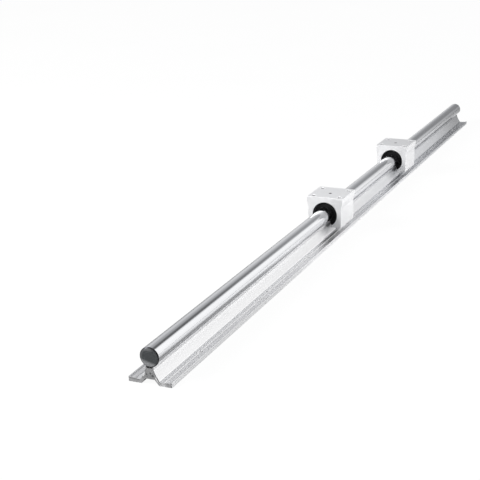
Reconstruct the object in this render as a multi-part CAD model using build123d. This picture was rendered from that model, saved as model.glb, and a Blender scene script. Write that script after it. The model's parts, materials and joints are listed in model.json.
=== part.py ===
from build123d import *
import math
import os

# Supported round rail with two open linear-bearing blocks.
# Frame: X along the rail, Y across it, Z up. The origin is at the bottom face,
# at mid length and mid width. All values are millimetres.

# ---------------------------------------------------------------- rail
RAIL_LENGTH = 1200.0
SHAFT_D = 20.0
SHAFT_AXIS_Z = 27.0
SHAFT_END_CHAMFER = 1.0

BASE_HALF = 22.5          # half the width over the flanges
FLANGE_ROOT_Z = 3.85      # flange top beside the foot of the web
FLANGE_TOP_Z = 4.2        # flange top beside the outer lip
LIP_TOP_Z = 5.1           # raised lip along the outer edge
SEAT_HALF = 4.0           # half the width of the seat under the shaft
SEAT_R = SHAFT_D / 2 + 0.02
RELIEF_HALF = 3.0         # relief channel between the two seat lands
RELIEF_Z = 16.3
ARCH_TOP_Z = 5.4          # hollow under the foot of the web
ARCH_TOP_HALF = 4.75
ARCH_FOOT_HALF = 9.2
GUIDE_LINE_Y = 15.0       # drilling line on the flanges

HOLE_PITCH = 150.0
HOLE_FIRST = 75.0         # from the rail's end to the first holes
FLANGE_HOLE_D = 5.5
FLANGE_HOLE_Y = 15.0

# screws that hold the shaft down, M6, from underneath
SCREW_D = 6.0
SCREW_HEAD_D = 10.0
SCREW_HEAD_H = 6.0
SCREW_LENGTH = 16.0
SCREW_SOCKET_AF = 5.0
SCREW_SEAT_Z = 8.5
SCREW_BORE_D = 6.3        # clearance hole in the web
SCREW_COUNTERBORE_D = 10.5
SHAFT_TAP_D = 6.06        # threaded hole in the shaft, drawn at thread size
SHAFT_TAP_TOP_Z = 27.0

# ---------------------------------------------------------------- blocks
BLOCK_LENGTH = 50.0
BLOCK_TOP_Z = 50.0
BLOCK_BOTTOM_Z = 11.0
BLOCK_HALF_TOP = 24.0
BLOCK_HALF_SIDE = 22.4
BLOCK_SHOULDER_Z = 43.5   # full width down to here
BLOCK_WAIST_Z = 37.0      # then tapering in to the side width
BLOCK_BORE_R = 16.0
OPENING_DEG = 60.0
BLOCK_EDGE = 0.4          # bevel round the ends
BORE_MOUTH = 0.8          # bevel at the mouths of the bore
TOP_HOLE_PITCH = 35.0
TOP_HOLE_D = 5.0          # tapping drill of the M6 threads
TOP_HOLE_DEPTH = 12.0
TOP_HOLE_MOUTH_D = 6.6
OIL_HOLE_D = 4.0
OIL_HOLE_X = -3.0
CLAMP_SCREW_D = 5.0
CLAMP_SCREW_LENGTH = 5.0
CLAMP_SCREW_AF = 2.5

NEAR_X = -97.0            # block centres in the stored pose
FAR_X = 207.5

# ---------------------------------------------------------------- bearing
BEARING_LENGTH = 42.0
SLEEVE_R = 15.98
SLEEVE_BORE_R = 13.215
SLEEVE_SEAT_R = 14.9      # counterbore for the end seals
SLEEVE_SEAT_DEPTH = 3.0
CAGE_R = 13.18
CAGE_BORE_R = 10.45
CAGE_HALF = 17.8
BALL_D = 3.175
BALL_CIRCLE_R = SHAFT_D / 2 + 0.02 + BALL_D / 2
BALL_ROWS_DEG = (0.0, 66.0, -66.0, 132.0, -132.0)
BALLS_PER_ROW = 9
BALL_PITCH = 3.3
TRACK_WIDTH = 3.4
SEAL_R = 14.85
SEAL_LIP_R = 10.08
SEAL_THICKNESS = 2.6


def section(points):
    """Closed face in the YZ plane from (y, z) corners."""
    return make_face(Plane.YZ * Polyline(*points, close=True))


def prism(face, x0, x1):
    """The YZ face extruded along X from x0 to x1."""
    return extrude(Pos(x0, 0, 0) * face, x1 - x0, dir=(1, 0, 0))


def rod_x(r, x0, x1, y=0.0, z=0.0):
    return Pos((x0 + x1) / 2, y, z) * Rot(0, 90, 0) * Cylinder(r, x1 - x0)


def rod_z(r, z0, z1, x=0.0, y=0.0):
    return Pos(x, y, (z0 + z1) / 2) * Cylinder(r, z1 - z0)


def hex_z(af, z0, z1, x=0.0, y=0.0):
    return Pos(x, y, z0) * extrude(RegularPolygon(af / 2, 6, major_radius=False), z1 - z0)


# ================================================================ rail pieces
hole_x = [-RAIL_LENGTH / 2 + HOLE_FIRST + HOLE_PITCH * i for i in range(8)]

# --- ground shaft with threaded blind holes along its underside
shaft = rod_x(SHAFT_D / 2, -RAIL_LENGTH / 2, RAIL_LENGTH / 2, 0, SHAFT_AXIS_Z)
shaft = chamfer(shaft.edges().filter_by(GeomType.CIRCLE), SHAFT_END_CHAMFER)
shaft -= [rod_z(SHAFT_TAP_D / 2, SHAFT_AXIS_Z - SHAFT_D, SHAFT_TAP_TOP_Z, x, 0) for x in hole_x]

# --- extruded support: seat, waisted web, two flanges with lips, hollow foot
seat_in_z = SHAFT_AXIS_Z - math.sqrt(SEAT_R ** 2 - RELIEF_HALF ** 2)
seat_out_z = SHAFT_AXIS_Z - math.sqrt(SEAT_R ** 2 - SEAT_HALF ** 2)
seat_mid_y = (RELIEF_HALF + SEAT_HALF) / 2
seat_mid_z = SHAFT_AXIS_Z - math.sqrt(SEAT_R ** 2 - seat_mid_y ** 2)


def yz(y, z):
    return (0.0, y, z)


def half_outline(s):
    """Edges of one side of the section, from the middle of the seat down and
    round to the middle of the hollow. s is +1 or -1 for the side."""
    e = [
        Line(yz(0, RELIEF_Z), yz(s * RELIEF_HALF, RELIEF_Z)),
        Line(yz(s * RELIEF_HALF, RELIEF_Z), yz(s * RELIEF_HALF, seat_in_z)),
        ThreePointArc(yz(s * RELIEF_HALF, seat_in_z), yz(s * seat_mid_y, seat_mid_z), yz(s * SEAT_HALF, seat_out_z)),
        Line(yz(s * SEAT_HALF, seat_out_z), yz(s * 4.15, 15.2)),
        ThreePointArc(yz(s * 4.15, 15.2), yz(s * 6.35, 10.0), yz(s * 8.95, 5.6)),
        ThreePointArc(yz(s * 8.95, 5.6), yz(s * 9.75, 4.45), yz(s * 11.0, FLANGE_ROOT_Z)),
    ]
    run = [
        (11.0, FLANGE_ROOT_Z),
        (GUIDE_LINE_Y - 0.5, 3.98),
        (GUIDE_LINE_Y, 3.5),
        (GUIDE_LINE_Y + 0.5, 4.01),
        (20.2, FLANGE_TOP_Z),
        (21.1, LIP_TOP_Z),
        (22.2, LIP_TOP_Z),
        (BASE_HALF, LIP_TOP_Z - 0.3),
        (BASE_HALF, 2.85),
        (BASE_HALF - 0.5, 2.45),
        (BASE_HALF, 2.05),
        (BASE_HALF, 0.3),
        (BASE_HALF - 0.3, 0.0),
        (ARCH_FOOT_HALF, 0.0),
        (ARCH_TOP_HALF, ARCH_TOP_Z),
        (0.0, ARCH_TOP_Z),
    ]
    for a, b in zip(run, run[1:]):
        e.append(Line(yz(s * a[0], a[1]), yz(s * b[0], b[1])))
    return e


outline = Wire(half_outline(1) + half_outline(-1))
support = prism(Face(outline), -RAIL_LENGTH / 2, RAIL_LENGTH / 2)
cuts = []
for x in hole_x:
    cuts.append(rod_z(SCREW_BORE_D / 2, 0, 20, x, 0))
    cuts.append(rod_z(SCREW_COUNTERBORE_D / 2, 0, SCREW_SEAT_Z, x, 0))
    for y in (FLANGE_HOLE_Y, -FLANGE_HOLE_Y):
        cuts.append(rod_z(FLANGE_HOLE_D / 2, -1, 8, x, y))
support -= cuts


# --- socket screws from underneath: head in the hollow, shank in the shaft
def cap_screw(x):
    seat = SCREW_SEAT_Z
    head = rod_z(SCREW_HEAD_D / 2, seat - SCREW_HEAD_H, seat, x, 0)
    head = fillet(head.edges().sort_by(Axis.Z)[0], 0.5)
    shank = rod_z(SCREW_D / 2, seat, seat + SCREW_LENGTH, x, 0)
    shank = chamfer(shank.edges().sort_by(Axis.Z)[-1], 0.6)
    body = head + shank
    body -= hex_z(SCREW_SOCKET_AF, seat - SCREW_HEAD_H - 1, seat - SCREW_HEAD_H + 3.0, x, 0)
    return body


screws = Compound(children=[cap_screw(x).solids()[0] for x in hole_x])


# ================================================================ block pieces
def wedge(half_deg, x0, x1, reach=40.0):
    """The opening below the shaft: a wedge with its edge on the shaft axis."""
    h = math.radians(half_deg)
    return prism(
        section([
            (0, SHAFT_AXIS_Z),
            (reach * math.sin(h), SHAFT_AXIS_Z - reach * math.cos(h)),
            (-reach * math.sin(h), SHAFT_AXIS_Z - reach * math.cos(h)),
        ]),
        x0, x1)


HALF_OPEN = OPENING_DEG / 2


def housing(cx):
    """Extruded housing, open below, with threaded holes in its top."""
    body = section([
        (BLOCK_HALF_TOP, BLOCK_TOP_Z), (BLOCK_HALF_TOP, BLOCK_SHOULDER_Z),
        (BLOCK_HALF_SIDE, BLOCK_WAIST_Z), (BLOCK_HALF_SIDE, BLOCK_BOTTOM_Z),
        (-BLOCK_HALF_SIDE, BLOCK_BOTTOM_Z), (-BLOCK_HALF_SIDE, BLOCK_WAIST_Z),
        (-BLOCK_HALF_TOP, BLOCK_SHOULDER_Z), (-BLOCK_HALF_TOP, BLOCK_TOP_Z),
    ])
    x0, x1 = cx - BLOCK_LENGTH / 2, cx + BLOCK_LENGTH / 2
    solid = prism(body, x0, x1)
    long_edges = solid.edges().filter_by(Axis.X)
    solid = fillet([e for e in long_edges if e.center().Z > BLOCK_TOP_Z - 0.1], 0.5)
    long_edges = solid.edges().filter_by(Axis.X)
    solid = fillet([e for e in long_edges if e.center().Z < BLOCK_BOTTOM_Z + 0.1], 1.2)
    rim = [e for e in solid.edges()
           if e.bounding_box().size.X < 1e-4 and
           (abs(e.center().X - x0) < 1e-3 or abs(e.center().X - x1) < 1e-3)]
    solid = chamfer(rim, BLOCK_EDGE)
    solid -= rod_x(BLOCK_BORE_R, x0 - 1, x1 + 1, 0, SHAFT_AXIS_Z)
    solid -= wedge(HALF_OPEN, x0 - 1, x1 + 1)
    solid = solid.solids()[0]
    # the two tips beside the opening are slightly rounded
    tips = [e for e in solid.edges().filter_by(Axis.X)
            if abs(math.hypot(e.center().Y, e.center().Z - SHAFT_AXIS_Z) - BLOCK_BORE_R) < 0.05]
    solid = fillet(tips, 0.35)
    # turned bevel at both mouths of the bore
    c = BORE_MOUTH
    for face_x, flip in ((x0, 1), (x1, -1)):
        cone = Cone(BLOCK_BORE_R + 2 * c, BLOCK_BORE_R, 2 * c)
        solid -= Pos(face_x, 0, SHAFT_AXIS_Z) * Rot(0, 90 * flip, 0) * cone
    # four threaded holes and the oil hole in the top
    for sx in (1, -1):
        for sy in (1, -1):
            hx, hy = cx + sx * TOP_HOLE_PITCH / 2, sy * TOP_HOLE_PITCH / 2
            solid -= rod_z(TOP_HOLE_D / 2, BLOCK_TOP_Z - TOP_HOLE_DEPTH, BLOCK_TOP_Z + 1, hx, hy)
            solid -= Pos(hx, hy, BLOCK_TOP_Z - 0.4) * Cone(TOP_HOLE_D / 2, TOP_HOLE_MOUTH_D / 2, 0.8)
    solid -= rod_z(OIL_HOLE_D / 2, SHAFT_AXIS_Z + 10, BLOCK_TOP_Z + 1, cx + OIL_HOLE_X, 0)
    # threaded hole for the bearing's clamp screw, in one side
    solid -= Pos(cx, 20, SHAFT_AXIS_Z) * Rot(90, 0, 0) * Cylinder(CLAMP_SCREW_D / 2 + 0.03, 14)
    return solid.solids()[0]


def sleeve(cx):
    """Hardened outer sleeve of the bearing, open below."""
    h = BEARING_LENGTH / 2
    s = rod_x(SLEEVE_R, cx - h, cx + h, 0, SHAFT_AXIS_Z)
    s = chamfer(s.edges().filter_by(GeomType.CIRCLE), 0.5)
    s -= rod_x(SLEEVE_BORE_R, cx - h - 1, cx + h + 1, 0, SHAFT_AXIS_Z)
    for side in (1, -1):
        a, b = cx + side * (h - SLEEVE_SEAT_DEPTH), cx + side * (h + 1)
        s -= rod_x(SLEEVE_SEAT_R, min(a, b), max(a, b), 0, SHAFT_AXIS_Z)
    s -= wedge(HALF_OPEN, cx - h - 1, cx + h + 1)
    s -= rod_z(1.5, SHAFT_AXIS_Z + 11, SHAFT_AXIS_Z + 17, cx + OIL_HOLE_X, 0)
    s -= Pos(cx, SLEEVE_R - 0.6, SHAFT_AXIS_Z) * Rot(90, 0, 0) * Cylinder(1.7, 1.3)
    return s.solids()[0]


def cage(cx):
    """Resin ball cage with one long track for each row of loaded balls."""
    s = rod_x(CAGE_R, cx - CAGE_HALF, cx + CAGE_HALF, 0, SHAFT_AXIS_Z)
    s -= rod_x(CAGE_BORE_R, cx - CAGE_HALF - 1, cx + CAGE_HALF + 1, 0, SHAFT_AXIS_Z)
    s -= wedge(HALF_OPEN + 0.3, cx - 25, cx + 25)
    half = (BALLS_PER_ROW - 1) / 2 * BALL_PITCH
    for a in BALL_ROWS_DEG:
        slot = Pos(0, 0, 12) * Box(2 * half, TRACK_WIDTH, 8)
        for e in (half, -half):
            slot += Pos(e, 0, 12) * Cylinder(TRACK_WIDTH / 2, 8)
        s -= Pos(cx, 0, SHAFT_AXIS_Z) * Rot(a, 0, 0) * slot
    return s.solids()[0]


def balls(cx):
    """Loaded rows of bearing balls, each ball its own solid."""
    out = []
    for a in BALL_ROWS_DEG:
        t = math.radians(a)
        for i in range(BALLS_PER_ROW):
            x = cx + (i - (BALLS_PER_ROW - 1) / 2) * BALL_PITCH
            y = -BALL_CIRCLE_R * math.sin(t)
            z = SHAFT_AXIS_Z + BALL_CIRCLE_R * math.cos(t)
            out.append((Pos(x, y, z) * Sphere(BALL_D / 2)).solids()[0])
    return Compound(children=out)


def seal(cx, side):
    """Rubber end seal, open below, with a bevelled lip just off the shaft."""
    outer = cx + side * (BEARING_LENGTH / 2 - 0.2)
    inner = outer - side * SEAL_THICKNESS
    a, b = min(outer, inner), max(outer, inner)
    s = rod_x(SEAL_R, a, b, 0, SHAFT_AXIS_Z)
    s -= rod_x(SEAL_LIP_R, a - 1, b + 1, 0, SHAFT_AXIS_Z)
    # dished face: the lip stands behind the outer rim
    dish = Pos(outer - side * 0.45, 0, SHAFT_AXIS_Z) * Rot(0, 90, 0)
    dish = dish * (Cone(11.2, 13.4, 0.9) if side > 0 else Cone(13.4, 11.2, 0.9))
    s -= dish
    s -= wedge(HALF_OPEN + 0.3, a - 1, b + 1)
    return s.solids()[0]


def clamp_screw(cx):
    """Headless socket screw that holds the sleeve from the side."""
    tip_y = SLEEVE_R - 0.9
    body_y = BLOCK_BORE_R + 0.4
    end_y = body_y + CLAMP_SCREW_LENGTH
    s = Pos(cx, (body_y + end_y) / 2, SHAFT_AXIS_Z) * Rot(90, 0, 0) * Cylinder(CLAMP_SCREW_D / 2, CLAMP_SCREW_LENGTH)
    s = chamfer(s.edges().filter_by(GeomType.CIRCLE), 0.3)
    s += Pos(cx, (tip_y + body_y + 0.1) / 2, SHAFT_AXIS_Z) * Rot(90, 0, 0) * Cylinder(1.5, body_y + 0.1 - tip_y)
    key = extrude(RegularPolygon(CLAMP_SCREW_AF / 2, 6, major_radius=False), 2.6)
    s -= Pos(cx, end_y + 0.1, SHAFT_AXIS_Z) * Rot(90, 0, 0) * key
    return s.solids()[0]


# ================================================================ files
os.makedirs("parts", exist_ok=True)
pieces = {
    "guide_shaft": shaft.solids()[0],
    "support_rail": support.solids()[0],
    "shaft_screws": screws,
}
for label, cx in (("near", NEAR_X), ("far", FAR_X)):
    pieces[label + "_housing"] = housing(cx)
    pieces[label + "_bearing_sleeve"] = sleeve(cx)
    pieces[label + "_ball_cage"] = cage(cx)
    pieces[label + "_balls"] = balls(cx)
    pieces[label + "_end_seal_a"] = seal(cx, -1)
    pieces[label + "_end_seal_b"] = seal(cx, 1)
    pieces[label + "_clamp_screw"] = clamp_screw(cx)

for name, shape in pieces.items():
    shape.label = name
    export_step(shape, "parts/" + name + ".step")
    print(name, len(shape.solids()), "solids", round(sum(q.volume for q in shape.solids()), 1), "mm3")
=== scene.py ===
import json
import math

import bmesh
import bpy
from mathutils import Matrix, Vector


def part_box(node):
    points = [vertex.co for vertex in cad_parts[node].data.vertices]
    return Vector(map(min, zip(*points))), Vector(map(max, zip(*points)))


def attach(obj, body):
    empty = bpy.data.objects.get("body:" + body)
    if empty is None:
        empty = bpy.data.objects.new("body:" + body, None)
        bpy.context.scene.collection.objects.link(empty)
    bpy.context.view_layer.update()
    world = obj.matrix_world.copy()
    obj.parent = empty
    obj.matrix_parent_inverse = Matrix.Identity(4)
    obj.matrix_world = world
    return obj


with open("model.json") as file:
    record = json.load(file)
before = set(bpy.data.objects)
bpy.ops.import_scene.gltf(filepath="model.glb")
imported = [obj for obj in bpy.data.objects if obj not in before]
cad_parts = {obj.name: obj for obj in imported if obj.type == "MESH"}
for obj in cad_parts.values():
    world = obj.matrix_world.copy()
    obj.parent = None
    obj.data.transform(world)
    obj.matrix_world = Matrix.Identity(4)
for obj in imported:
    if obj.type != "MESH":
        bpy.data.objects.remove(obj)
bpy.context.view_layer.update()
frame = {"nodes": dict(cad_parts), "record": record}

NODES = frame["nodes"]
scene = bpy.context.scene

# ------------------------------------------------------------------ camera
# The photograph's viewpoint in the row frame, fitted on the rail's corners.
CAM_POS = Vector((-1.411279, -0.454970, 0.437305))
CAM_AZ, CAM_EL, CAM_ROLL = 0.419287, 0.313273, -0.023297
CAM_F_PX = 1108.16          # focal length in pixels of the 480 pixel frame


def make_camera():
    fwd = Vector((math.cos(CAM_AZ) * math.cos(CAM_EL), math.sin(CAM_AZ) * math.cos(CAM_EL), -math.sin(CAM_EL)))
    right = fwd.cross(Vector((0, 0, 1))).normalized()
    up = right.cross(fwd)
    c, s = math.cos(CAM_ROLL), math.sin(CAM_ROLL)
    r2, u2 = right * c + up * s, up * c - right * s
    data = bpy.data.cameras.new("photo_camera")
    data.sensor_width = 36.0
    data.lens = CAM_F_PX * 36.0 / 480.0
    data.clip_start, data.clip_end = 0.02, 200.0
    cam = bpy.data.objects.new("photo_camera", data)
    scene.collection.objects.link(cam)
    m = Matrix((r2, u2, -fwd)).transposed().to_4x4()
    m.translation = CAM_POS
    cam.matrix_world = m
    scene.camera = cam


make_camera()
scene.view_settings.view_transform = "Standard"
scene.view_settings.look = "None"


# ------------------------------------------------------------------ node helper
class Nodes:
    """A short way to write node trees."""

    def __init__(self, tree):
        self.tree = tree
        tree.nodes.clear()

    def add(self, kind, props=None, **inputs):
        n = self.tree.nodes.new(kind)
        for k, v in (props or {}).items():
            setattr(n, k, v)
        for k, v in inputs.items():
            self.set(n, k, v)
        return n

    def set(self, n, key, v):
        key = int(key[1:]) if key[0] == "i" and key[1:].isdigit() else key.replace("_", " ")
        socket = n.inputs[key]
        if isinstance(v, bpy.types.NodeSocket):
            self.tree.links.new(v, socket)
        else:
            socket.default_value = v

    def math(self, op, a, b=None, c=None, clamp=False):
        n = self.tree.nodes.new("ShaderNodeMath")
        n.operation, n.use_clamp = op, clamp
        for i, v in enumerate((a, b, c)):
            if v is None:
                continue
            if isinstance(v, bpy.types.NodeSocket):
                self.tree.links.new(v, n.inputs[i])
            else:
                n.inputs[i].default_value = v
        return n.outputs[0]

    def ramp(self, value, a, b, lo=0.0, hi=1.0, smooth=True):
        """value mapped from a..b to lo..hi, clamped."""
        n = self.add("ShaderNodeMapRange", {"interpolation_type": "SMOOTHSTEP" if smooth else "LINEAR", "clamp": True})
        self.set(n, "i0", value)
        for i, v in ((1, a), (2, b), (3, lo), (4, hi)):
            n.inputs[i].default_value = v
        return n.outputs[0]

    def mix(self, fac, a, b):
        """Colour mix."""
        n = self.add("ShaderNodeMix", {"data_type": "RGBA"})
        self.set(n, "i0", fac)
        for i, v in ((6, a), (7, b)):
            if isinstance(v, bpy.types.NodeSocket):
                self.tree.links.new(v, n.inputs[i])
            else:
                n.inputs[i].default_value = (*v, 1.0)
        return n.outputs[2]

    def mixf(self, fac, a, b):
        n = self.add("ShaderNodeMix", {"data_type": "FLOAT"})
        for i, v in ((0, fac), (2, a), (3, b)):
            if isinstance(v, bpy.types.NodeSocket):
                self.tree.links.new(v, n.inputs[i])
            else:
                n.inputs[i].default_value = v
        return n.outputs[0]

    def curve(self, value, stops, top=1.0):
        """Piecewise linear function of value; stops are (value, result) pairs."""
        lo, hi = stops[0][0], stops[-1][0]
        ramp = self.add("ShaderNodeValToRGB")
        self.set(ramp, "Fac", self.ramp(value, lo, hi, 0.0, 1.0, smooth=False))
        cr = ramp.color_ramp
        while len(cr.elements) < len(stops):
            cr.elements.new(0.5)
        for i, (p, v) in enumerate(stops):
            cr.elements[i].position = (p - lo) / (hi - lo)
            cr.elements[i].color = (v / top, v / top, v / top, 1)
        return self.math("MULTIPLY", ramp.outputs[0], top)

    def noise(self, vector, scale, detail=2.0, rough=0.5):
        n = self.add("ShaderNodeTexNoise")
        self.set(n, "Vector", vector)
        n.inputs["Scale"].default_value = scale
        n.inputs["Detail"].default_value = detail
        n.inputs["Roughness"].default_value = rough
        return n.outputs[0]

    def stretch(self, vector, sx, sy, sz):
        n = self.add("ShaderNodeVectorMath", {"operation": "MULTIPLY"})
        self.set(n, "i0", vector)
        n.inputs[1].default_value = (sx, sy, sz)
        return n.outputs[0]

    def bump(self, height, strength, distance, normal=None):
        n = self.add("ShaderNodeBump")
        self.set(n, "Height", height)
        self.set(n, "Strength", strength)
        n.inputs["Distance"].default_value = distance
        if normal is not None:
            self.set(n, "Normal", normal)
        return n.outputs[0]


def start(name):
    mat = bpy.data.materials.new(name)
    mat.use_nodes = True
    n = Nodes(mat.node_tree)
    tc = n.add("ShaderNodeTexCoord")
    obj, nrm = tc.outputs["Object"], tc.outputs["Normal"]
    sep = n.add("ShaderNodeSeparateXYZ")
    n.set(sep, "i0", obj)
    seq = n.add("ShaderNodeSeparateXYZ")
    n.set(seq, "i0", nrm)
    shader = n.add("ShaderNodeBsdfPrincipled")
    out = n.add("ShaderNodeOutputMaterial")
    n.set(out, "Surface", shader.outputs[0])
    return mat, n, obj, sep.outputs, seq.outputs, shader


def shaft_steel():
    """Ground shaft: fine lines round it; its ends are cut and turned."""
    mat, n, obj, p, m, sh = start("shaft_steel")
    end = n.ramp(n.math("ABSOLUTE", m[0]), 0.35, 0.6)
    face = n.ramp(n.math("ABSOLUTE", m[0]), 0.85, 0.97)
    lines = n.noise(n.stretch(obj, 5200.0, 90.0, 90.0), 1.0, 3.0, 0.6)
    cloud = n.noise(n.stretch(obj, 9.0, 40.0, 40.0), 1.0, 3.0, 0.55)
    r = n.math("SQRT", n.math("ADD", n.math("MULTIPLY", p[1], p[1]),
                              n.math("POWER", n.math("SUBTRACT", p[2], 0.027), 2.0)))
    rings = n.math("SINE", n.math("ADD", n.math("MULTIPLY", r, 15000.0), n.math("MULTIPLY", cloud, 3.0)))
    body = n.mix(cloud, (0.62, 0.626, 0.641), (0.68, 0.684, 0.695))
    drawn = n.noise(n.stretch(obj, 2.5, 800.0, 800.0), 1.0, 2.0, 0.5)
    body = n.mix(n.ramp(drawn, 0.50, 0.68, 0.0, 0.25), body, (0.42, 0.425, 0.44))
    # painted light: the underside and a band just above it are painted brighter, by amounts that vary along the shaft
    depth = n.math("SUBTRACT", 0.027, p[2])
    painted_low_band = n.math("MULTIPLY", n.ramp(depth, 0.0010, 0.0015), n.ramp(depth, 0.0030, 0.0024))
    painted_low_band_gain = n.curve(p[0], [(-0.35, 1.0), (-0.20, 1.20), (0.02, 1.40), (0.10, 1.45), (0.30, 1.36), (0.45, 1.22), (0.53, 1.12), (0.60, 1.0)], 1.5)
    painted_underside_light = n.ramp(depth, 0.0034, 0.0044)
    painted_underside_gain = n.curve(p[0], [(-0.6, 1.45), (-0.30, 1.42), (-0.15, 1.28), (0.05, 1.12), (0.6, 1.08)], 1.5)
    painted_light_gain = n.math("MULTIPLY", n.mixf(painted_low_band, 1.0, painted_low_band_gain), n.mixf(painted_underside_light, 1.0, painted_underside_gain))
    lifted = n.add("ShaderNodeVectorMath", {"operation": "SCALE"})
    n.set(lifted, "i0", body)
    n.set(lifted, "Scale", painted_light_gain)
    body = lifted.outputs[0]
    mott = n.noise(obj, 900.0, 4.0, 0.6)
    cut = n.mix(n.ramp(mott, 0.3, 0.75), (0.132, 0.142, 0.148), (0.258, 0.272, 0.282))
    # the turned face: uneven rings, paler towards the bottom
    rad = n.add("ShaderNodeCombineXYZ")
    n.set(rad, "i0", n.math("MULTIPLY", r, 1400.0))
    uneven = n.noise(rad.outputs[0], 1.0, 2.0, 0.6)
    cut = n.mix(n.math("MULTIPLY", n.ramp(uneven, 0.50, 0.66), 0.50), cut, (0.055, 0.058, 0.062))
    low = n.ramp(n.math("SUBTRACT", n.math("MULTIPLY_ADD", p[1], 0.25, 0.0239), p[2]), 0.0, 0.0036)
    high = n.math("MULTIPLY", n.ramp(p[2], 0.0320, 0.0350), n.ramp(p[1], -0.005, 0.001, 0.0, 0.55))
    lip = n.math("MULTIPLY", n.ramp(r, 0.0070, 0.0078), n.ramp(n.math("ADD", p[1], n.math("MULTIPLY", n.math("SUBTRACT", 0.027, p[2]), 0.5)), -0.002, 0.004, 0.0, 0.22))
    pale = n.math("MULTIPLY", n.math("ADD", n.math("ADD", low, high), lip, clamp=True), n.ramp(mott, 0.25, 0.6, 0.5, 1.0))
    cut = n.mix(pale, cut, (0.72, 0.73, 0.745))
    rim = n.mix(n.ramp(mott, 0.35, 0.7), (0.020, 0.020, 0.022), (0.055, 0.055, 0.060))
    ends = n.mix(face, rim, cut)
    n.set(sh, "Base_Color", n.mix(end, body, ends))
    sh.inputs["Metallic"].default_value = 1.0
    rough = n.math("ADD", 0.088, n.math("MULTIPLY", n.math("MULTIPLY_ADD", cloud, 0.4, lines), 0.05))
    n.set(sh, "Roughness", n.mixf(end, rough, n.mixf(face, 0.3, 0.42)))
    height = n.mixf(face, n.math("MULTIPLY", lines, 0.25), n.math("ADD", n.math("MULTIPLY", rings, 0.5), mott))
    n.set(sh, "Normal", n.bump(height, 0.25, 0.00002))
    return mat


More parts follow.
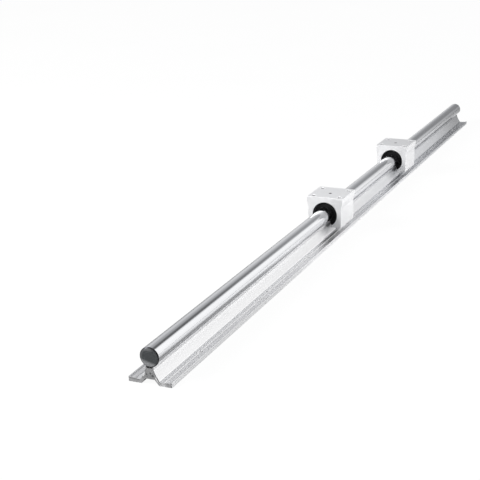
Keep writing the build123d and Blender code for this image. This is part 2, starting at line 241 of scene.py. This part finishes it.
def rail_aluminium():
    """Extruded support: die lines along it, saw-cut ends, drilled holes."""
    mat, n, obj, p, m, sh = start("rail_aluminium")
    end = n.ramp(n.math("ABSOLUTE", m[0]), 0.6, 0.9)
    die = n.noise(n.stretch(obj, 3.0, 900.0, 900.0), 1.0, 3.0, 0.55)
    fine = n.noise(n.stretch(obj, 12.0, 3600.0, 3600.0), 1.0, 2.0, 0.5)
    cloud = n.noise(n.stretch(obj, 14.0, 60.0, 60.0), 1.0, 4.0, 0.6)
    grain = n.noise(obj, 1600.0, 3.0, 0.6)
    blotch = n.noise(obj, 260.0, 4.0, 0.6)
    # saw marks: shallow arcs across the cut face
    saw_r = n.math("SQRT", n.math("ADD", n.math("POWER", n.math("ADD", p[1], 0.16), 2.0),
                                  n.math("POWER", n.math("SUBTRACT", p[2], 0.21), 2.0)))
    saw = n.math("SINE", n.math("ADD", n.math("MULTIPLY", saw_r, 9000.0), n.math("MULTIPLY", blotch, 9.0)))
    # distance from the nearest flange hole's axis
    hx = n.math("SUBTRACT", n.math("FLOORED_MODULO", n.math("ADD", p[0], 0.6), 0.15), 0.075)
    hy = n.math("SUBTRACT", n.math("ABSOLUTE", p[1]), 0.015)
    hr = n.math("SQRT", n.math("ADD", n.math("MULTIPLY", hx, hx), n.math("MULTIPLY", hy, hy)))
    bore = n.math("LESS_THAN", hr, 0.00285)
    ring = n.math("MULTIPLY", n.ramp(hr, 0.0028, 0.0030), n.ramp(hr, 0.0030, 0.0036, 1.0, 0.0))
    flange = n.ramp(n.math("ABSOLUTE", p[1]), 0.0085, 0.0105)
    # painted light and shade: the web is painted darker towards the far end, and the flange in bands across its width
    # and along the rail
    tone = n.mixf(flange, n.curve(p[0], [(-0.6, 0.99), (-0.3, 0.95), (0.0, 0.90), (0.3, 0.86), (0.4, 0.82), (0.5, 0.65), (0.56, 0.51), (0.6, 0.46)], 1.2),
                  n.math("MULTIPLY", n.curve(n.math("ABSOLUTE", p[1]), [(0.0105, 1.02), (0.0120, 1.10), (0.0135, 1.08), (0.0150, 0.84), (0.0170, 0.92), (0.0190, 0.94), (0.0205, 0.87), (0.0216, 0.83)], 1.3),
                         n.curve(p[0], [(-0.6, 1.10), (-0.3, 1.13), (-0.2, 1.25), (-0.12, 1.18), (0.0, 1.08), (0.10, 1.19), (0.16, 1.15), (0.24, 0.96), (0.4, 0.77), (0.5, 0.65), (0.6, 0.58)], 1.3)))
    # painted light: the seat and the top of the web are painted a little brighter, most of all towards the near end
    painted_upper_light = n.math("MULTIPLY", n.curve(p[2], [(0.0100, 0.0), (0.0125, 0.06), (0.0150, 0.15), (0.0163, 0.30), (0.0180, 0.30)], 0.5), n.curve(p[0], [(-0.6, 1.0), (-0.3, 1.0), (0.0, 0.4), (0.4, 0.2)]))
    tone = n.math("MULTIPLY", tone, n.math("ADD", 1.0, painted_upper_light))
    # painted reflected light: the colour turns cooler and bluer towards the far end
    warm = n.mix(n.math("MULTIPLY", n.math("ADD", die, cloud), 0.5), (0.69, 0.69, 0.695), (0.80, 0.80, 0.805))
    cool = n.mix(n.math("MULTIPLY", n.math("ADD", die, cloud), 0.5), (0.680, 0.690, 0.710), (0.790, 0.799, 0.820))
    side = n.mix(n.ramp(p[0], -0.2, 0.35), warm, cool)
    shade = n.add("ShaderNodeVectorMath", {"operation": "SCALE"})
    n.set(shade, "i0", side)
    n.set(shade, "Scale", tone)
    cap = n.add("ShaderNodeVectorMath", {"operation": "MINIMUM"})
    n.set(cap, "i0", shade.outputs[0])
    cap.inputs[1].default_value = (0.97, 0.97, 0.975)
    side = cap.outputs[0]
    # painted light: the flange hole walls and a ring round each mouth are painted pale, so the holes read light instead
    # of shaded
    side = n.mix(n.math("MULTIPLY", ring, 0.5), side, (0.93, 0.93, 0.93))
    side = n.mix(bore, side, (0.94, 0.94, 0.945))
    # painted light: the outer edge faces of the flanges are painted near white towards the near end and along their
    # bottom
    edge = n.math("MULTIPLY", n.ramp(n.math("ABSOLUTE", m[1]), 0.85, 0.97), n.math("GREATER_THAN", n.math("ABSOLUTE", p[1]), 0.0218))
    along = n.math("MAXIMUM", n.ramp(p[0], 0.0, -0.30, 0.35, 1.0), n.ramp(p[2], 0.0034, 0.0024))
    side = n.mix(n.math("MULTIPLY", edge, along), side, (0.98, 0.98, 0.985))
    cut = n.mix(n.ramp(n.math("ADD", n.math("MULTIPLY", grain, 0.5), n.math("MULTIPLY", blotch, 0.5)), 0.3, 0.7),
                (0.36, 0.36, 0.365), (0.80, 0.80, 0.805))

    def spot(y, z, rad):
        d = n.math("SQRT", n.math("ADD", n.math("POWER", n.math("SUBTRACT", p[1], y), 2.0),
                                  n.math("POWER", n.math("SUBTRACT", p[2], z), 2.0)))
        return n.ramp(n.math("ADD", d, n.math("MULTIPLY", n.math("SUBTRACT", blotch, 0.5), 0.0012)), rad, rad * 0.35, 0.0, 1.0)

    def stroke(y0, z0, y1, z1, width):
        """1 on the line from (y0, z0) to (y1, z1), fading to 0 at width from it."""
        ly, lz = y1 - y0, z1 - z0
        ll = ly * ly + lz * lz
        py, pz = n.math("SUBTRACT", p[1], y0), n.math("SUBTRACT", p[2], z0)
        t = n.math("DIVIDE", n.math("ADD", n.math("MULTIPLY", py, ly), n.math("MULTIPLY", pz, lz)), ll, clamp=True)
        d = n.math("SQRT", n.math("ADD", n.math("POWER", n.math("SUBTRACT", py, n.math("MULTIPLY", t, ly)), 2.0),
                                  n.math("POWER", n.math("SUBTRACT", pz, n.math("MULTIPLY", t, lz)), 2.0)))
        return n.ramp(d, width, width * 0.3, 0.0, 1.0)

    # painted light: the lower part of the sawn face is painted paler, more on the +Y side
    cut = n.mix(n.math("MULTIPLY", n.ramp(p[2], 0.0075, 0.0045, 0.0, 0.38), n.ramp(p[1], 0.003, 0.009, 1.0, 1.9)), cut, (0.93, 0.93, 0.935))
    cut = n.mix(spot(-0.0190, 0.0025, 0.0045), cut, (0.42, 0.42, 0.425))
    # painted highlights along edges of the sawn face, where burrs catch the light, and painted shadows beside them
    burr_highlight = n.math("ADD", stroke(-0.0060, 0.0072, -0.0082, 0.0040, 0.0010), n.math("ADD", stroke(0.0058, 0.0118, 0.0068, 0.0082, 0.0013), stroke(0.0112, 0.0042, 0.0212, 0.0050, 0.0009)), clamp=True)
    burr_shadow = n.math("ADD", stroke(-0.0074, 0.0074, -0.0089, 0.0042, 0.0010), n.math("MULTIPLY", stroke(0.0112, 0.0030, 0.0212, 0.0037, 0.0009), 0.45), clamp=True)
    cut = n.mix(n.math("MULTIPLY", burr_highlight, 0.8), cut, (0.92, 0.92, 0.925))
    cut = n.mix(n.math("MULTIPLY", burr_shadow, 0.75), cut, (0.11, 0.11, 0.115))
    # dark marks on the sawn face, with a paler spot between two of them
    dark = n.math("ADD", spot(0.0033, 0.0099, 0.0013), n.math("ADD", spot(-0.0006, 0.0112, 0.0012), spot(-0.0030, 0.0089, 0.0016)), clamp=True)
    cut = n.mix(n.math("MULTIPLY", dark, 0.75), cut, (0.10, 0.10, 0.105))
    cut = n.mix(n.math("MULTIPLY", spot(0.0013, 0.0103, 0.0012), 0.7), cut, (0.62, 0.62, 0.625))
    # painted shadows: two dark dots at the tip of the -Y flange on the sawn face
    tip_shadows = n.math("ADD", spot(-0.0219, 0.0040, 0.0012), spot(-0.0217, 0.0012, 0.0014), clamp=True)
    cut = n.mix(n.math("MULTIPLY", tip_shadows, 0.6), cut, (0.10, 0.10, 0.105))
    n.set(sh, "Base_Color", n.mix(end, side, cut))
    dull = n.math("MULTIPLY", edge, n.ramp(p[0], -0.10, -0.40, 0.0, 0.85))
    dull = n.mixf(end, dull, n.math("MULTIPLY", burr_highlight, 0.55))
    n.set(sh, "Metallic", n.mixf(bore, n.math("SUBTRACT", 1.0, dull), 0.1))
    rough = n.math("ADD", 0.29, n.math("MULTIPLY", n.math("ADD", n.math("MULTIPLY", fine, 0.5), n.math("MULTIPLY", cloud, 0.4)), 0.12))
    foot = n.math("MULTIPLY", n.math("MULTIPLY", n.ramp(n.math("ABSOLUTE", p[1]), 0.0103, 0.0112), n.ramp(n.math("ABSOLUTE", p[1]), 0.0145, 0.0132)), n.ramp(p[0], 0.0, -0.2))
    rough = n.math("MULTIPLY", rough, n.mixf(foot, 1.0, 0.55))
    rough = n.mixf(bore, rough, 0.7)
    n.set(sh, "Roughness", n.mixf(end, rough, 0.48))
    h = n.math("ADD", n.math("MULTIPLY", die, 0.8), n.math("MULTIPLY", fine, 0.15))
    b = n.bump(n.mixf(end, h, n.math("ADD", n.math("MULTIPLY", saw, 0.4), grain)), n.mixf(end, 0.12, 0.35), 0.00003)
    n.set(sh, "Normal", b)
    return mat


def block_aluminium(cx, top, flank, oil_hole_shade, fill):
    """Housing: fine satin surface, milled ends, threads in the top holes; painted shade on its top and sides, in its
    holes and in its bore.
    """
    mat, n, obj, p, m, sh = start("block_aluminium")
    grain = n.noise(obj, 2600.0, 3.0, 0.6)
    cloud = n.noise(obj, 70.0, 4.0, 0.55)
    end = n.ramp(n.math("ABSOLUTE", m[0]), 0.9, 0.99)
    side = n.ramp(n.math("ABSOLUTE", m[1]), 0.9, 0.99)
    die = n.noise(n.stretch(obj, 12.0, 1800.0, 1800.0), 1.0, 4.0, 0.6)
    # sweeping milling marks on the ends
    mr = n.math("SQRT", n.math("ADD", n.math("POWER", n.math("SUBTRACT", p[1], 0.03), 2.0),
                               n.math("POWER", n.math("ADD", p[2], 0.02), 2.0)))
    mill = n.math("SINE", n.math("MULTIPLY", mr, 11000.0))
    # distance from the nearest top hole's axis
    hx = n.math("SUBTRACT", n.math("ABSOLUTE", n.math("SUBTRACT", p[0], cx)), 0.0175)
    hy = n.math("SUBTRACT", n.math("ABSOLUTE", p[1]), 0.0175)
    hr = n.math("SQRT", n.math("ADD", n.math("MULTIPLY", hx, hx), n.math("MULTIPLY", hy, hy)))
    deep = n.math("LESS_THAN", p[2], 0.04925)
    hole = n.math("MULTIPLY", n.math("LESS_THAN", hr, 0.0027), deep)
    thread = n.math("MULTIPLY", hole, n.math("SINE", n.math("MULTIPLY", p[2], 2 * math.pi / 0.001)))
    base = n.mix(cloud, (0.88, 0.88, 0.885), (0.95, 0.95, 0.955))
    # painted shade: the top and side faces are darkened by the top and flank amounts, which differ between the near and
    # far housing
    base = n.mix(n.math("MULTIPLY", n.ramp(m[2], 0.9, 0.99), 1.0 - top), base, (0.3, 0.3, 0.3))
    base = n.mix(n.math("MULTIPLY", n.ramp(n.math("ABSOLUTE", m[1]), 0.6, 0.9), 1.0 - flank), base, (0.3, 0.3, 0.3))
    # painted shade: the walls of the top holes are painted dark
    base = n.mix(hole, base, (0.25, 0.25, 0.255))
    sink = n.math("MULTIPLY", n.math("MULTIPLY", n.math("LESS_THAN", hr, 0.0034), n.math("LESS_THAN", m[2], 0.95)), n.math("GREATER_THAN", p[2], 0.04925))
    base = n.mix(sink, base, (0.90, 0.90, 0.905))
    # oil hole, a little off the middle; its wall is painted dark as shade, darker on the near block
    ox = n.math("SUBTRACT", p[0], cx - 0.003)
    orad = n.math("SQRT", n.math("ADD", n.math("MULTIPLY", ox, ox), n.math("MULTIPLY", p[1], p[1])))
    oil = n.math("MULTIPLY", n.math("LESS_THAN", orad, 0.00215), n.math("LESS_THAN", n.math("ABSOLUTE", m[2]), 0.5))
    base = n.mix(oil, base, (oil_hole_shade, oil_hole_shade, oil_hole_shade))
    # the bore: finely turned and smoother than the outside; its wall is painted dark as shade
    br = n.math("SQRT", n.math("ADD", n.math("MULTIPLY", p[1], p[1]), n.math("POWER", n.math("SUBTRACT", p[2], 0.027), 2.0)))
    bored = n.ramp(br, 0.01655, 0.01625, 0.0, 1.0)
    base = n.mix(bored, base, (0.20, 0.20, 0.205))
    n.set(sh, "Base_Color", base)
    corner = n.math("MULTIPLY", n.math("MULTIPLY", end, n.ramp(p[2], 0.031, 0.019)), n.ramp(p[1], 0.0, -0.012, 0.0, fill))
    n.set(sh, "Metallic", n.math("SUBTRACT", 0.85, corner))
    rough = n.math("ADD", 0.34, n.math("MULTIPLY", n.math("ADD", grain, cloud), 0.08))
    n.set(sh, "Roughness", n.mixf(bored, rough, 0.16))
    h = n.math("ADD", n.math("MULTIPLY", grain, 0.5),
               n.math("ADD", n.math("MULTIPLY", n.math("MULTIPLY", end, mill), 0.10),
                      n.math("MULTIPLY", n.math("MULTIPLY", side, die), 0.35)))
    b = n.bump(h, 0.3, 0.00002)
    b = n.bump(thread, 0.9, 0.00015, b)
    n.set(sh, "Normal", b)
    return mat


def bearing_steel():
    mat, n, obj, p, m, sh = start("bearing_steel")
    lines = n.noise(n.stretch(obj, 4000.0, 120.0, 120.0), 1.0, 3.0, 0.6)
    cloud = n.noise(obj, 120.0, 3.0, 0.5)
    n.set(sh, "Base_Color", n.mix(cloud, (0.020, 0.020, 0.022), (0.036, 0.036, 0.038)))
    sh.inputs["Metallic"].default_value = 0.6
    n.set(sh, "Roughness", n.math("ADD", 0.30, n.math("MULTIPLY", lines, 0.12)))
    n.set(sh, "Normal", n.bump(lines, 0.2, 0.00002))
    return mat


def ball_steel():
    mat, n, obj, p, m, sh = start("ball_steel")
    cloud = n.noise(obj, 900.0, 2.0, 0.5)
    n.set(sh, "Base_Color", n.mix(cloud, (0.62, 0.62, 0.63), (0.72, 0.72, 0.73)))
    sh.inputs["Metallic"].default_value = 1.0
    n.set(sh, "Roughness", n.math("ADD", 0.06, n.math("MULTIPLY", cloud, 0.05)))
    return mat


def cage_resin():
    mat, n, obj, p, m, sh = start("cage_resin")
    grain = n.noise(obj, 3000.0, 3.0, 0.6)
    cloud = n.noise(obj, 150.0, 3.0, 0.5)
    n.set(sh, "Base_Color", n.mix(cloud, (0.006, 0.006, 0.0065), (0.012, 0.012, 0.0125)))
    sh.inputs["Specular IOR Level"].default_value = 0.25
    n.set(sh, "Roughness", n.math("ADD", 0.38, n.math("MULTIPLY", grain, 0.15)))
    n.set(sh, "Normal", n.bump(grain, 0.2, 0.00002))
    return mat


def seal_rubber():
    mat, n, obj, p, m, sh = start("seal_rubber")
    grain = n.noise(obj, 2400.0, 4.0, 0.65)
    cloud = n.noise(obj, 220.0, 3.0, 0.5)
    r = n.math("SQRT", n.math("ADD", n.math("MULTIPLY", p[1], p[1]),
                              n.math("POWER", n.math("SUBTRACT", p[2], 0.027), 2.0)))
    rings = n.math("SINE", n.math("MULTIPLY", r, 12000.0))
    n.set(sh, "Base_Color", n.mix(cloud, (0.0035, 0.0035, 0.0040), (0.008, 0.008, 0.0085)))
    sh.inputs["Specular IOR Level"].default_value = 0.15
    n.set(sh, "Roughness", n.math("ADD", 0.52, n.math("MULTIPLY", grain, 0.2)))
    n.set(sh, "Normal", n.bump(n.math("ADD", grain, n.math("MULTIPLY", rings, 0.3)), 0.25, 0.00003))
    return mat


def black_screw():
    mat, n, obj, p, m, sh = start("black_screw")
    grain = n.noise(obj, 1800.0, 4.0, 0.6)
    cloud = n.noise(obj, 300.0, 3.0, 0.5)
    n.set(sh, "Base_Color", n.mix(n.ramp(cloud, 0.35, 0.75), (0.022, 0.022, 0.025), (0.07, 0.07, 0.075)))
    sh.inputs["Metallic"].default_value = 0.7
    n.set(sh, "Roughness", n.math("ADD", 0.32, n.math("MULTIPLY", grain, 0.2)))
    n.set(sh, "Normal", n.bump(grain, 0.2, 0.00002))
    return mat


def centre_x(node):
    lo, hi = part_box(node)
    return (lo.x + hi.x) / 2


MATS = {
    "shaft_steel": shaft_steel(),
    "rail_aluminium": rail_aluminium(),
    "bearing_steel": bearing_steel(),
    "ball_steel": ball_steel(),
    "cage_resin": cage_resin(),
    "seal_rubber": seal_rubber(),
    "black_screw": black_screw(),
}
# the near and far housings are copies of one material with different painted shade on the top, the sides and the oil
# hole
HOUSING = {b: block_aluminium(centre_x(b + "_housing"), *look) for b, look in (("near", (0.97, 0.87, 0.05, 0.0)), ("far", (0.84, 0.89, 0.22, 0.5)))}


def paint(obj, mat):
    if not obj.material_slots:
        obj.data.materials.append(mat)
    for s in obj.material_slots:
        s.material = mat


for sub in frame["record"]["subparts"]:
    node, slot = sub["node"], sub["material_slot"]
    if slot == "block_aluminium":
        paint(NODES[node], HOUSING[node.split("_")[0]])
    else:
        paint(NODES[node], MATS[slot])


# ------------------------------------------------------------------ added pieces
def mesh_piece(name, verts, faces, mat, body, smooth=True):
    me = bpy.data.meshes.new(name)
    me.from_pydata(verts, [], faces)
    me.validate()
    o = bpy.data.objects.new(name, me)
    scene.collection.objects.link(o)
    bm = bmesh.new()
    bm.from_mesh(me)
    bmesh.ops.recalc_face_normals(bm, faces=bm.faces)
    bm.to_mesh(me)
    bm.free()
    for f in me.polygons:
        f.use_smooth = smooth
    me.materials.append(mat)
    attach(o, body)
    return o


def helix(cx, cy, z0, z1, r_out, r_in, pitch, seg, verts, faces):
    """A triangular thread ridge on the wall of a hole, tapering out at both ends."""
    turns = (z1 - z0) / pitch
    steps = int(turns * seg)
    base = len(verts)
    for i in range(steps + 1):
        t = i / steps
        a = 2 * math.pi * turns * t
        z = z0 + (z1 - z0) * t
        fade = min(1.0, t * steps / (seg * 0.5), (1 - t) * steps / (seg * 0.5))
        c, s = math.cos(a), math.sin(a)
        ri = r_out + (r_in - r_out) * fade
        h = pitch * 0.40 * max(fade, 0.05)
        verts += [(cx + r_out * c, cy + r_out * s, z - h), (cx + ri * c, cy + ri * s, z - h * 0.14),
                  (cx + ri * c, cy + ri * s, z + h * 0.14), (cx + r_out * c, cy + r_out * s, z + h)]
    for i in range(steps):
        a, b = base + 4 * i, base + 4 * (i + 1)
        for k in range(4):
            j = (k + 1) % 4
            faces.append((a + k, b + k, b + j, a + j))
    faces.append((base, base + 1, base + 2, base + 3))
    e = base + 4 * steps
    faces.append((e + 3, e + 2, e + 1, e))


for b in ("near", "far"):
    cx = centre_x(b + "_housing")
    verts, faces = [], []
    for sx in (1, -1):
        for sy in (1, -1):
            helix(cx + sx * 0.0175, sy * 0.0175, 0.0385, 0.0490, 0.00253, 0.00222, 0.001, 36, verts, faces)
    mesh_piece(b + "_top_threads", verts, faces, HOUSING[b], b + "_block")


# ------------------------------------------------------------------ stage
def stage_plane(name, size_x, size_y, matrix, mat):
    me = bpy.data.meshes.new(name)
    x, y = size_x / 2, size_y / 2
    me.from_pydata([(-x, -y, 0), (x, -y, 0), (x, y, 0), (-x, y, 0)], [], [(0, 1, 2, 3)])
    o = bpy.data.objects.new(name, me)
    scene.collection.objects.link(o)
    o.matrix_world = matrix
    me.materials.append(mat)
    return o


def floor_material():
    """Pale paper; what the camera sees of it directly is lifted to near white."""
    mat = bpy.data.materials.new("pale_floor")
    mat.use_nodes = True
    n = Nodes(mat.node_tree)
    tc = n.add("ShaderNodeTexCoord")
    grain = n.noise(tc.outputs["Object"], 3.0, 3.0, 0.5)
    d = n.add("ShaderNodeBsdfDiffuse")
    e = n.add("ShaderNodeEmission")
    e.inputs["Color"].default_value = (1, 1, 1, 1)
    lp = n.add("ShaderNodeLightPath")
    cam = lp.outputs["Is Camera Ray"]
    geo = n.add("ShaderNodeNewGeometry")
    sep = n.add("ShaderNodeSeparateXYZ")
    n.set(sep, "i0", geo.outputs["Position"])
    far = n.curve(sep.outputs[0], [(0.2, 1.0), (0.50, 0.97), (0.60, 0.84), (0.66, 0.68), (0.70, 0.52), (0.74, 0.42), (1.1, 0.32)])
    far_off = n.curve(sep.outputs[0], [(0.6, 1.05), (0.75, 1.02), (0.86, 0.88), (0.94, 0.74), (1.0, 0.52), (1.06, 0.38), (1.4, 0.34)], 1.1)
    far = n.mixf(n.ramp(sep.outputs[1], -0.07, -0.14), far, far_off)
    far = n.math("MULTIPLY", far, n.mixf(n.ramp(sep.outputs[1], -0.038, -0.028), 1.0, n.curve(sep.outputs[0], [(0.58, 1.0), (0.63, 0.75), (0.68, 0.62)])))
    far = n.mixf(n.ramp(sep.outputs[1], -0.40, -0.60), far, 1.0)
    far_left = n.curve(sep.outputs[0], [(0.2, 1.0), (0.50, 1.06), (0.62, 1.25), (0.80, 1.20), (1.3, 0.56), (1.6, 0.40)], 1.3)
    # painted light and shade on the floor, seen only by the part's surfaces: dimmer on the left, beyond the far end and
    # in a band beside the rail, brighter elsewhere
    right = n.ramp(sep.outputs[1], 0.0, -0.022)
    close = n.curve(sep.outputs[0], [(-0.6, 0.19), (-0.5, 0.21), (-0.4, 0.28), (-0.3, 0.38), (0.0, 0.47), (0.3, 0.53), (0.5, 0.66), (1.2, 0.80)], 1.0)
    close = n.math("MULTIPLY", close, n.mixf(n.ramp(sep.outputs[0], -0.42, -0.30), n.ramp(sep.outputs[1], 0.05, 0.14, 0.72, 1.0), 1.0))
    left = n.mixf(n.ramp(sep.outputs[1], 0.25, 0.55), close, 0.39)
    bright = n.curve(sep.outputs[0], [(-0.6, 0.55), (-0.45, 0.62), (-0.36, 0.67), (-0.22, 0.82), (0.0, 0.86), (0.6, 0.86)])
    front = n.curve(sep.outputs[1], [(-0.20, 1.14), (-0.13, 1.09), (-0.09, 1.06), (-0.065, 0.95), (-0.045, 0.76), (-0.032, 0.62), (-0.027, 0.86), (0.0, 0.86)], 1.3)
    middle = n.curve(sep.outputs[1], [(-0.20, 1.10), (-0.06, 1.06), (-0.040, 1.08), (-0.028, 1.14), (0.0, 1.14)], 1.3)
    bright = n.math("MULTIPLY", bright, n.mixf(n.ramp(sep.outputs[0], -0.34, -0.19), front, middle))
    bright = n.math("MULTIPLY", far, n.mixf(n.ramp(sep.outputs[1], -0.30, -0.60), bright, 0.80))
    tone = n.mixf(right, n.math("MULTIPLY", left, far_left), bright)
    tone = n.mixf(cam, tone, n.math("MULTIPLY_ADD", grain, 0.01, 0.045))
    grey = n.add("ShaderNodeCombineColor")
    for i in range(3):
        n.set(grey, f"i{i}", tone)
    n.set(d, "Color", grey.outputs[0])
    along = n.curve(sep.outputs[0], [(-2.0, 0.05), (-0.35, 0.05), (-0.12, 0.12), (0.25, 0.12), (0.4, 0.12), (0.6, 0.07), (0.9, 0.02), (1.4, 0.0)])
    across = n.curve(sep.outputs[1], [(-1.5, 0.3), (-0.6, 0.4), (-0.2, 0.4), (-0.09, 0.55), (-0.055, 1.0), (-0.03, 1.0), (0.0, 0.0)])
    glow = n.math("MULTIPLY", along, across)
    beside = n.curve(sep.outputs[0], [(-0.26, 0.0), (-0.16, 0.05), (-0.08, 0.10), (0.0, 0.20), (0.22, 0.24), (0.34, 0.06), (0.45, 0.0)])
    strip = n.math("MULTIPLY", n.ramp(sep.outputs[1], -0.075, -0.050), n.ramp(sep.outputs[1], -0.028, -0.036))
    glow = n.math("ADD", glow, n.math("MULTIPLY", beside, strip))
    # light coming up through the flange holes
    ay = n.math("ABSOLUTE", sep.outputs[1])
    holes = n.math("MULTIPLY", n.ramp(ay, 0.0118, 0.0124), n.ramp(ay, 0.0182, 0.0176, 0.0, 1.0))
    holes = n.math("MULTIPLY", holes, n.curve(sep.outputs[0], [(-0.6, 1.0), (0.0, 1.0), (0.10, 0.85), (0.375, 0.55), (0.6, 0.35)]))
    glow = n.math("ADD", glow, n.math("MULTIPLY", holes, n.math("LESS_THAN", n.math("ABSOLUTE", sep.outputs[0]), 0.58)))
    n.set(e, "Strength", n.mixf(cam, glow, FLOOR_LIFT))
    a = n.add("ShaderNodeAddShader")
    n.set(a, "i0", d.outputs[0])
    n.set(a, "i1", e.outputs[0])
    out = n.add("ShaderNodeOutputMaterial")
    n.set(out, "Surface", a.outputs[0])
    return mat


FLOOR_LIFT = 0.945      # for the camera only
floor = stage_plane("floor", 60.0, 60.0, Matrix.Translation((0, 0, -0.00006)), floor_material())


def flag_material():
    """Thin grey card, clear at its near edge and top and denser towards the far end."""
    mat = bpy.data.materials.new("soft_flag")
    mat.use_nodes = True
    n = Nodes(mat.node_tree)
    geo = n.add("ShaderNodeNewGeometry")
    sep = n.add("ShaderNodeSeparateXYZ")
    n.set(sep, "i0", geo.outputs["Position"])
    dense = n.math("MULTIPLY", n.ramp(sep.outputs[0], 1.00, 1.50, smooth=False), n.ramp(sep.outputs[2], 0.04, 0.18, 0.9, 0.0))
    e = n.add("ShaderNodeEmission", None, Strength=0.30)
    e.inputs["Color"].default_value = (1, 1, 1, 1)
    clear = n.add("ShaderNodeBsdfTransparent")
    m = n.add("ShaderNodeMixShader")
    n.set(m, "i0", dense)
    n.set(m, "i1", clear.outputs[0])
    n.set(m, "i2", e.outputs[0])
    out = n.add("ShaderNodeOutputMaterial")
    n.set(out, "Surface", m.outputs[0])
    return mat


flag = stage_plane("soft_flag", 3.0, 0.4, Matrix.Translation((2.0, -0.25, 0.21)) @ Matrix.Rotation(math.radians(90), 4, "X"), flag_material())
flag.visible_camera = False


def area_light(name, size, size_y, power, pos, aim, colour=(1, 1, 1)):
    data = bpy.data.lights.new(name, "AREA")
    data.shape = "RECTANGLE"
    data.size, data.size_y = size, size_y
    data.energy = power
    data.color = colour
    o = bpy.data.objects.new(name, data)
    scene.collection.objects.link(o)
    o.location = pos
    o.rotation_mode = "QUATERNION"
    o.rotation_quaternion = (Vector(aim) - Vector(pos)).to_track_quat("-Z", "Y")
    o.visible_camera = False
    return o


area_light("key_left_front", 1.3, 1.0, 96.0, (-1.7, 1.75, 1.25), (0.0, 0.0, 0.03))


def studio_world():
    """Soft surroundings as a function of direction: a bright panel all along the
    right, a fainter one on the left, a grey gap between them beyond the far end."""
    world = bpy.data.worlds.new("studio")
    scene.world = world
    world.use_nodes = True
    n = Nodes(world.node_tree)
    tc = n.add("ShaderNodeTexCoord")
    sep = n.add("ShaderNodeSeparateXYZ")
    n.set(sep, "i0", tc.outputs["Generated"])
    x, y, z = sep.outputs
    deg = 180.0 / math.pi
    az = n.math("MULTIPLY", n.math("ARCTAN2", y, x), deg)
    el = n.math("MULTIPLY", n.math("ARCSINE", z), deg)

    gap = n.curve(el, [(-2, 0.28), (15, 0.30), (20, 0.38), (24.0, 0.47), (26.5, 0.46), (28.0, 0.39), (29.5, 0.30), (31.5, 0.23), (34, 0.15), (38, 0.13), (60, 0.45), (90, 0.62)], 1.0)
    left = n.curve(el, [(-2, 0.78), (6, 0.79), (14, 0.86), (18, 0.84), (24, 0.75), (28, 0.67), (32, 0.56), (45, 0.50), (90, 0.62)], 1.0)
    right = n.curve(el, [(-2, 1.28), (6, 1.36), (14, 1.40), (26, 1.45), (45, 1.20), (90, 0.62)], 2.0)
    shift = n.curve(el, [(-2, 8.0), (4, 10.0), (8, 14.0), (12, 16.0), (16, 13.0), (20, 11.0), (24, 8.5), (30, 6.5), (50, 6.5)], 20.0)
    left = n.math("MULTIPLY", left, n.math("SUBTRACT", 1.0, n.math("MULTIPLY", n.ramp(az, 25.0, 33.0), n.ramp(el, 12.0, 4.0, 0.0, 0.27))))
    lift = n.math("MULTIPLY", n.math("MULTIPLY", n.ramp(az, 14.5, 18.5), n.ramp(az, 34.0, 28.0)), n.ramp(el, 26.0, 19.0, 0.0, 0.08))
    left = n.math("MULTIPLY", left, n.math("ADD", 1.0, lift))
    v = n.mixf(n.ramp(n.math("SUBTRACT", az, shift), -11.0, 11.0), gap, left)
    edge = n.math("MULTIPLY_ADD", n.math("MINIMUM", el, 20.0), 0.25, -20.0)
    t = n.math("DIVIDE", n.math("SUBTRACT", n.math("ADD", edge, 5.5), az), 11.0)
    right = n.math("MULTIPLY", right, n.ramp(az, -50.0, -90.0, 1.0, 0.60))
    v = n.mixf(n.ramp(t, 0.0, 1.0), v, right)
    # the side the camera stands on
    back = n.curve(el, [(-2, 0.21), (30, 0.26), (90, 0.64)], 1.0)
    v = n.mixf(n.ramp(x, -0.25, -0.75), v, back)
    dim = n.add("ShaderNodeBackground")
    n.set(dim, "Color", n.mix(n.ramp(v, 0.5, 1.25), (0.965, 0.975, 1.0), (1.0, 1.0, 1.0)))
    n.set(dim, "Strength", v)
    lit = n.add("ShaderNodeBackground")
    lit.inputs["Color"].default_value = (0.96, 0.96, 0.96, 1)
    lp = n.add("ShaderNodeLightPath")
    mixs = n.add("ShaderNodeMixShader")
    n.set(mixs, "i0", lp.outputs["Is Camera Ray"])
    n.set(mixs, "i1", dim.outputs[0])
    n.set(mixs, "i2", lit.outputs[0])
    wo = n.add("ShaderNodeOutputWorld")
    n.set(wo, "Surface", mixs.outputs[0])


area_light("top_front", 0.9, 0.9, 7.0, (-0.9, -0.2, 1.7), (-0.2, 0.0, 0.03))

studio_world()
